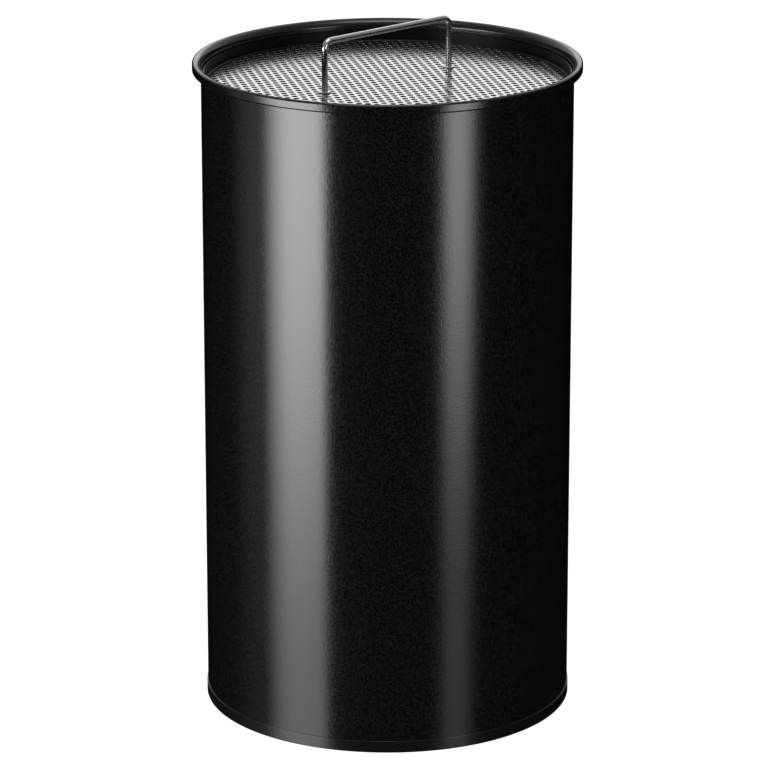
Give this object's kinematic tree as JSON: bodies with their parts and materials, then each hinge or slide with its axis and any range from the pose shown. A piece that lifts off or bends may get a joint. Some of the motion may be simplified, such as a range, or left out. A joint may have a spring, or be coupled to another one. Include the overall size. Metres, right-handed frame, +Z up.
{
  "type": "ash litter bin",
  "caption": "Round free-standing ash and litter bin: black sheet-steel cylinder with a rolled rim, lift-out sand tray and a perforated sieve with a bent-wire handle.",
  "frame": {"origin": "centre of the foot, on the floor", "axes": "+Z up along the cylinder, X along the sieve's handle and its rows of holes, the cylinder's seam at +Y"},
  "size_m": [0.38, 0.3798, 0.683],
  "materials": {
    "black_coat": "satin powder coat",
    "tray_coat": "matt powder coat",
    "black_plastic": "moulded",
    "perforated_steel": "bright rolled sheet",
    "handle_chrome": "polished",
    "zinc_plate": "zinc plated"
  },
  "bodies": {
    "bin": {"body_shell": "black_coat", "base_plate": "black_coat", "foot_ring": "black_plastic", "tray_bracket_1": "black_coat", "tray_bracket_2": "black_coat", "tray_bracket_3": "black_coat", "tray_bracket_4": "black_coat"},
    "tray": {"sand_tray": "tray_coat"},
    "sieve": {"sieve_disc": "perforated_steel", "sieve_handle": "handle_chrome", "handle_washers_upper": "zinc_plate", "handle_washers_lower": "zinc_plate", "handle_nuts": "zinc_plate"}
  },
  "joints": [
    {"name": "tray_lift", "type": "slide", "parent": "bin", "child": "tray", "axis": [0, 0, 1], "range_m": [0, 0.12]},
    {"name": "sieve_lift", "type": "slide", "parent": "tray", "child": "sieve", "axis": [0, 0, 1], "range_m": [0, 0.08]}
  ]
}
